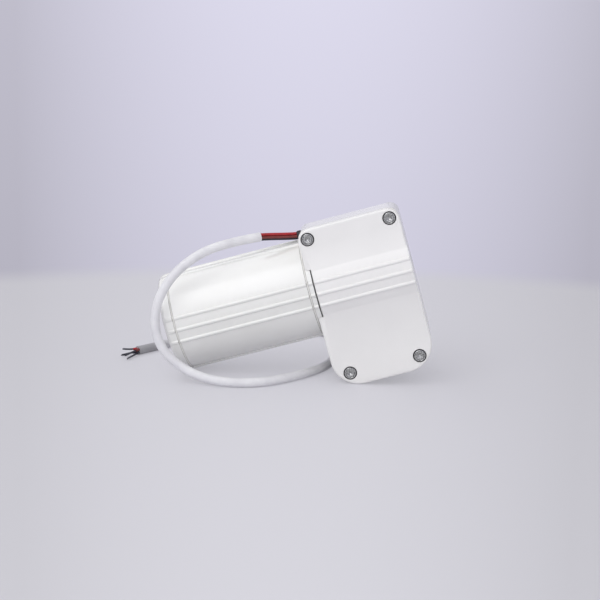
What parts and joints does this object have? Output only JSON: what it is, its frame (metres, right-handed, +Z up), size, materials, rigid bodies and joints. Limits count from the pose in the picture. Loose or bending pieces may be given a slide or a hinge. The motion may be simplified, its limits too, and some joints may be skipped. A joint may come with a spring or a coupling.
{
  "type": "worm gear motor drive",
  "caption": "Sealed worm gear motor drive with a ribbed barrel motor, a gearbox under a screwed cover, a rear output shaft and a jacketed supply cable with stripped cores.",
  "frame": {"origin": "centre of the bottom of the drive's bounding box without its cable, on the surface that it lies on", "axes": "+X from the motor's rear cap towards the gearbox, +Y along the output shaft away from the cover, +Z up; the motor axis rises 16.5 degrees towards the gearbox, as the drive rests on its rear cap's rim and its gearbox's lower corner"},
  "size_m": [0.2281, 0.1807, 0.1257],
  "materials": {
    "white_casting": "white powder coat",
    "white_cover": "white powder coat",
    "seal_rubber": "matte",
    "black_rubber": "matte",
    "zinc_screws": "zinc plated",
    "ground_steel": "ground",
    "core_steel": "laminated",
    "flux_steel": "zinc plated",
    "ferrite": "matte",
    "copper": "bare or enamelled copper",
    "brass": "satin",
    "bronze": "sintered",
    "carbon": "matte",
    "phenolic": "matte",
    "white_plastic": "satin",
    "gear_plastic": "satin",
    "capacitor_skin": "gloss",
    "grommet_rubber": "matte",
    "jacket_vinyl": "satin",
    "red_vinyl": "satin",
    "black_vinyl": "satin",
    "brown_vinyl": "satin",
    "blue_vinyl": "satin"
  },
  "bodies": {
    "drive": {"gearbox_housing": "white_casting", "front_cover": "white_cover", "cover_gasket": "seal_rubber", "cover_screws": "zinc_screws", "cover_screw_seals": "black_rubber", "motor_barrel": "white_casting", "rear_end_cap": "white_casting", "barrel_gaskets": "seal_rubber", "tie_bolts": "zinc_screws", "flux_ring": "flux_steel", "field_magnets": "ferrite", "brush_plate": "phenolic", "brush_holders": "brass", "carbon_brushes": "carbon", "brush_springs": "ground_steel", "bearing_outer_rings": "ground_steel", "bearing_balls": "ground_steel", "worm_end_bush": "bronze", "thrust_screw": "zinc_screws", "output_bushes": "bronze", "output_seal": "black_rubber", "terminal_board": "phenolic", "board_screws": "zinc_screws", "terminal_block": "white_plastic", "suppressor_choke": "copper", "suppressor_capacitor": "capacitor_skin", "inner_leads": "black_vinyl", "motor_leads": "black_vinyl", "cable_grommet": "grommet_rubber", "contact_plate": "phenolic", "contact_rivets": "brass", "contact_fingers": "brass", "supply_cable": "jacket_vinyl", "red_lead": "red_vinyl", "black_lead": "black_vinyl", "brown_lead": "brown_vinyl", "blue_lead": "blue_vinyl", "red_tail": "red_vinyl", "black_tail": "black_vinyl", "brown_tail": "brown_vinyl", "blue_tail": "blue_vinyl"},
    "armature": {"armature_shaft": "ground_steel", "armature_core": "core_steel", "armature_windings": "copper", "commutator_bars": "copper", "commutator_sleeve": "phenolic", "bearing_inner_rings": "ground_steel", "drive_worm": "ground_steel", "thrust_ball": "ground_steel"},
    "output": {"worm_wheel": "gear_plastic", "wheel_hub": "brass", "rim_screws": "zinc_screws", "contact_disc": "copper", "shaft_key": "ground_steel", "output_shaft": "ground_steel", "thrust_washer": "ground_steel", "outer_washer": "ground_steel", "shaft_rings": "ground_steel"}
  },
  "joints": [
    {"name": "armature_spin", "type": "hinge", "parent": "drive", "child": "armature", "pos_m": [0.013, -0.02055, 0.06321], "axis": [0.9588, 0, 0.2842], "continuous": true},
    {"name": "output_turn", "type": "hinge", "parent": "drive", "child": "output", "pos_m": [0.05721, -0.02055, 0.04164], "axis": [0, 1, 0], "continuous": true}
  ],
  "couplings": [
    {"joint": "output_turn", "follows": "armature_spin", "ratio": -0.02381}
  ]
}
